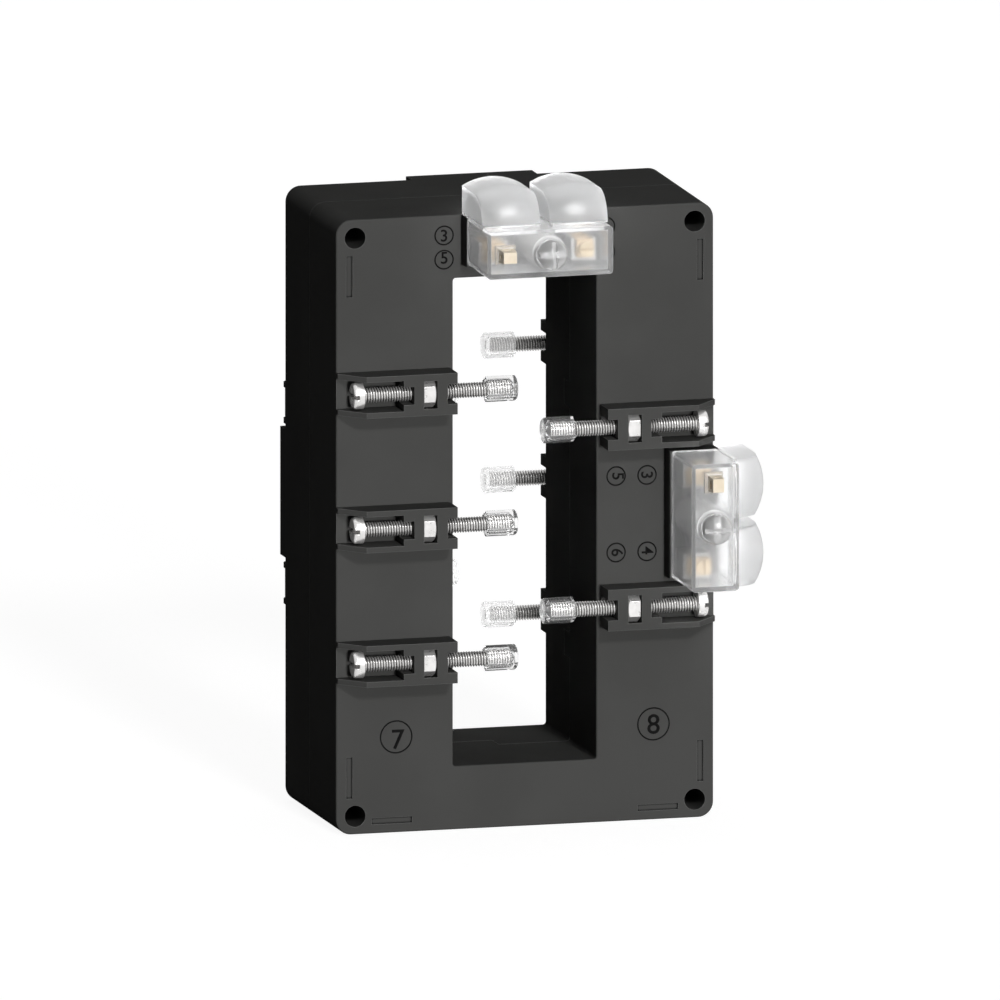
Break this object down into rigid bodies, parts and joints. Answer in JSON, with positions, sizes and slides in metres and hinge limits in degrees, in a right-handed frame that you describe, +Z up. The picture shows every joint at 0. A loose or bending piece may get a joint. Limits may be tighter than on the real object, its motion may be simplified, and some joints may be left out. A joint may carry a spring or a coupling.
{
  "type": "busbar current transformer",
  "caption": "Black moulded current transformer with a tall rectangular busbar window, clamp screws on both faces and clear hooded covers over its secondary terminals.",
  "frame": {"origin": "middle of the housing's flat underside", "axes": "+Z up along the window's long side, +X to the right seen from the front, -Y out of the front face that carries the terminal covers"},
  "size_m": [0.1096, 0.0885, 0.1696],
  "materials": {
    "black_housing": "fine satin moulding",
    "clear_cover": "clear with a slight haze",
    "clear_cap": "clear",
    "pale_plastic": "satin",
    "zinc_steel": "zinc-plated, satin",
    "pale_brass": "satin",
    "core_steel": "wound strip",
    "tray_plastic": "matte",
    "winding_copper": "enamelled copper",
    "winding_tape": "polyester tape",
    "lead_sleeve": "insulation sleeve"
  },
  "bodies": {
    "housing": {"front_shell": "black_housing", "rear_shell": "black_housing", "front_brackets": "black_housing", "rear_brackets": "black_housing", "core": "core_steel", "front_core_tray": "tray_plastic", "rear_core_tray": "tray_plastic", "left_winding": "winding_copper", "right_winding": "winding_copper", "left_winding_wrap": "winding_tape", "right_winding_wrap": "winding_tape", "clamp_nuts": "zinc_steel", "top_left_lead": "lead_sleeve", "top_right_lead": "lead_sleeve", "side_upper_lead": "lead_sleeve", "side_lower_lead": "lead_sleeve", "winding_link": "lead_sleeve", "top_cover": "clear_cover", "top_seal_lug": "pale_brass", "top_terminal_holder": "pale_plastic", "top_left_terminal": "pale_brass", "top_right_terminal": "pale_brass", "top_terminal_screws": "zinc_steel", "side_cover": "clear_cover", "side_seal_lug": "pale_brass", "side_terminal_holder": "pale_plastic", "side_upper_terminal": "pale_brass", "side_lower_terminal": "pale_brass", "side_terminal_screws": "zinc_steel"},
    "front_left_top_carrier": {"clamp_cap_front_left_top": "clear_cap"},
    "front_left_top_screw": {"clamp_screw_front_left_top": "zinc_steel"},
    "front_left_middle_carrier": {"clamp_cap_front_left_middle": "clear_cap"},
    "front_left_middle_screw": {"clamp_screw_front_left_middle": "zinc_steel"},
    "front_left_bottom_carrier": {"clamp_cap_front_left_bottom": "clear_cap"},
    "front_left_bottom_screw": {"clamp_screw_front_left_bottom": "zinc_steel"},
    "front_right_top_carrier": {"clamp_cap_front_right_top": "clear_cap"},
    "front_right_top_screw": {"clamp_screw_front_right_top": "zinc_steel"},
    "front_right_bottom_carrier": {"clamp_cap_front_right_bottom": "clear_cap"},
    "front_right_bottom_screw": {"clamp_screw_front_right_bottom": "zinc_steel"},
    "rear_right_top_carrier": {"clamp_cap_rear_right_top": "clear_cap"},
    "rear_right_top_screw": {"clamp_screw_rear_right_top": "zinc_steel"},
    "rear_right_middle_carrier": {"clamp_cap_rear_right_middle": "clear_cap"},
    "rear_right_middle_screw": {"clamp_screw_rear_right_middle": "zinc_steel"},
    "rear_right_bottom_carrier": {"clamp_cap_rear_right_bottom": "clear_cap"},
    "rear_right_bottom_screw": {"clamp_screw_rear_right_bottom": "zinc_steel"},
    "rear_left_top_carrier": {"clamp_cap_rear_left_top": "clear_cap"},
    "rear_left_top_screw": {"clamp_screw_rear_left_top": "zinc_steel"},
    "rear_left_bottom_carrier": {"clamp_cap_rear_left_bottom": "clear_cap"},
    "rear_left_bottom_screw": {"clamp_screw_rear_left_bottom": "zinc_steel"},
    "top_seal_carrier": {"top_retaining_ring": "zinc_steel"},
    "top_seal_screw": {"top_seal_screw": "clear_cap"},
    "side_seal_carrier": {"side_retaining_ring": "zinc_steel"},
    "side_seal_screw": {"side_seal_screw": "clear_cap"}
  },
  "joints": [
    {"name": "front_left_top_travel", "type": "slide", "parent": "housing", "child": "front_left_top_carrier", "axis": [1, 0, 0], "range_m": [-0.0077, 0.0098]},
    {"name": "front_left_top_turn", "type": "hinge", "parent": "front_left_top_carrier", "child": "front_left_top_screw", "pos_m": [-0.05, -0.029, 0.115], "axis": [1, 0, 0], "range_deg": [-3961, 5041]},
    {"name": "front_left_middle_travel", "type": "slide", "parent": "housing", "child": "front_left_middle_carrier", "axis": [1, 0, 0], "range_m": [-0.0077, 0.0098]},
    {"name": "front_left_middle_turn", "type": "hinge", "parent": "front_left_middle_carrier", "child": "front_left_middle_screw", "pos_m": [-0.05, -0.029, 0.08], "axis": [1, 0, 0], "range_deg": [-3961, 5041]},
    {"name": "front_left_bottom_travel", "type": "slide", "parent": "housing", "child": "front_left_bottom_carrier", "axis": [1, 0, 0], "range_m": [-0.0077, 0.0098]},
    {"name": "front_left_bottom_turn", "type": "hinge", "parent": "front_left_bottom_carrier", "child": "front_left_bottom_screw", "pos_m": [-0.05, -0.029, 0.045], "axis": [1, 0, 0], "range_deg": [-3961, 5041]},
    {"name": "front_right_top_travel", "type": "slide", "parent": "housing", "child": "front_right_top_carrier", "axis": [-1, 0, 0], "range_m": [-0.0077, 0.0098]},
    {"name": "front_right_top_turn", "type": "hinge", "parent": "front_right_top_carrier", "child": "front_right_top_screw", "pos_m": [0.05, -0.029, 0.1035], "axis": [-1, 0, 0], "range_deg": [-3961, 5041]},
    {"name": "front_right_bottom_travel", "type": "slide", "parent": "housing", "child": "front_right_bottom_carrier", "axis": [-1, 0, 0], "range_m": [-0.0077, 0.0098]},
    {"name": "front_right_bottom_turn", "type": "hinge", "parent": "front_right_bottom_carrier", "child": "front_right_bottom_screw", "pos_m": [0.05, -0.029, 0.0565], "axis": [-1, 0, 0], "range_deg": [-3961, 5041]},
    {"name": "rear_right_top_travel", "type": "slide", "parent": "housing", "child": "rear_right_top_carrier", "axis": [-1, 0, 0], "range_m": [-0.0077, 0.0098]},
    {"name": "rear_right_top_turn", "type": "hinge", "parent": "rear_right_top_carrier", "child": "rear_right_top_screw", "pos_m": [0.05, 0.029, 0.115], "axis": [-1, 0, 0], "range_deg": [-3961, 5041]},
    {"name": "rear_right_middle_travel", "type": "slide", "parent": "housing", "child": "rear_right_middle_carrier", "axis": [-1, 0, 0], "range_m": [-0.0077, 0.0098]},
    {"name": "rear_right_middle_turn", "type": "hinge", "parent": "rear_right_middle_carrier", "child": "rear_right_middle_screw", "pos_m": [0.05, 0.029, 0.08], "axis": [-1, 0, 0], "range_deg": [-3961, 5041]},
    {"name": "rear_right_bottom_travel", "type": "slide", "parent": "housing", "child": "rear_right_bottom_carrier", "axis": [-1, 0, 0], "range_m": [-0.0077, 0.0098]},
    {"name": "rear_right_bottom_turn", "type": "hinge", "parent": "rear_right_bottom_carrier", "child": "rear_right_bottom_screw", "pos_m": [0.05, 0.029, 0.045], "axis": [-1, 0, 0], "range_deg": [-3961, 5041]},
    {"name": "rear_left_top_travel", "type": "slide", "parent": "housing", "child": "rear_left_top_carrier", "axis": [1, 0, 0], "range_m": [-0.0077, 0.0098]},
    {"name": "rear_left_top_turn", "type": "hinge", "parent": "rear_left_top_carrier", "child": "rear_left_top_screw", "pos_m": [-0.05, 0.029, 0.1035], "axis": [1, 0, 0], "range_deg": [-3961, 5041]},
    {"name": "rear_left_bottom_travel", "type": "slide", "parent": "housing", "child": "rear_left_bottom_carrier", "axis": [1, 0, 0], "range_m": [-0.0077, 0.0098]},
    {"name": "rear_left_bottom_turn", "type": "hinge", "parent": "rear_left_bottom_carrier", "child": "rear_left_bottom_screw", "pos_m": [-0.05, 0.029, 0.0565], "axis": [1, 0, 0], "range_deg": [-3961, 5041]},
    {"name": "top_seal_travel", "type": "slide", "parent": "housing", "child": "top_seal_carrier", "axis": [0, 1, 0], "range_m": [-0.0056, 0]},
    {"name": "top_seal_turn", "type": "hinge", "parent": "top_seal_carrier", "child": "top_seal_screw", "pos_m": [0, -0.025, 0.1536], "axis": [0, 1, 0], "range_deg": [-2881, 0]},
    {"name": "side_seal_travel", "type": "slide", "parent": "housing", "child": "side_seal_carrier", "axis": [0, 1, 0], "range_m": [-0.0056, 0]},
    {"name": "side_seal_turn", "type": "hinge", "parent": "side_seal_carrier", "child": "side_seal_screw", "pos_m": [0.0436, -0.025, 0.08], "axis": [0, 1, 0], "range_deg": [-2881, 0]}
  ],
  "couplings": [
    {"joint": "front_left_top_turn", "follows": "front_left_top_travel", "rad_per_m": 8976},
    {"joint": "front_left_middle_turn", "follows": "front_left_middle_travel", "rad_per_m": 8976},
    {"joint": "front_left_bottom_turn", "follows": "front_left_bottom_travel", "rad_per_m": 8976},
    {"joint": "front_right_top_turn", "follows": "front_right_top_travel", "rad_per_m": 8976},
    {"joint": "front_right_bottom_turn", "follows": "front_right_bottom_travel", "rad_per_m": 8976},
    {"joint": "rear_right_top_turn", "follows": "rear_right_top_travel", "rad_per_m": 8976},
    {"joint": "rear_right_middle_turn", "follows": "rear_right_middle_travel", "rad_per_m": 8976},
    {"joint": "rear_right_bottom_turn", "follows": "rear_right_bottom_travel", "rad_per_m": 8976},
    {"joint": "rear_left_top_turn", "follows": "rear_left_top_travel", "rad_per_m": 8976},
    {"joint": "rear_left_bottom_turn", "follows": "rear_left_bottom_travel", "rad_per_m": 8976},
    {"joint": "top_seal_turn", "follows": "top_seal_travel", "rad_per_m": 8976},
    {"joint": "side_seal_turn", "follows": "side_seal_travel", "rad_per_m": 8976}
  ]
}
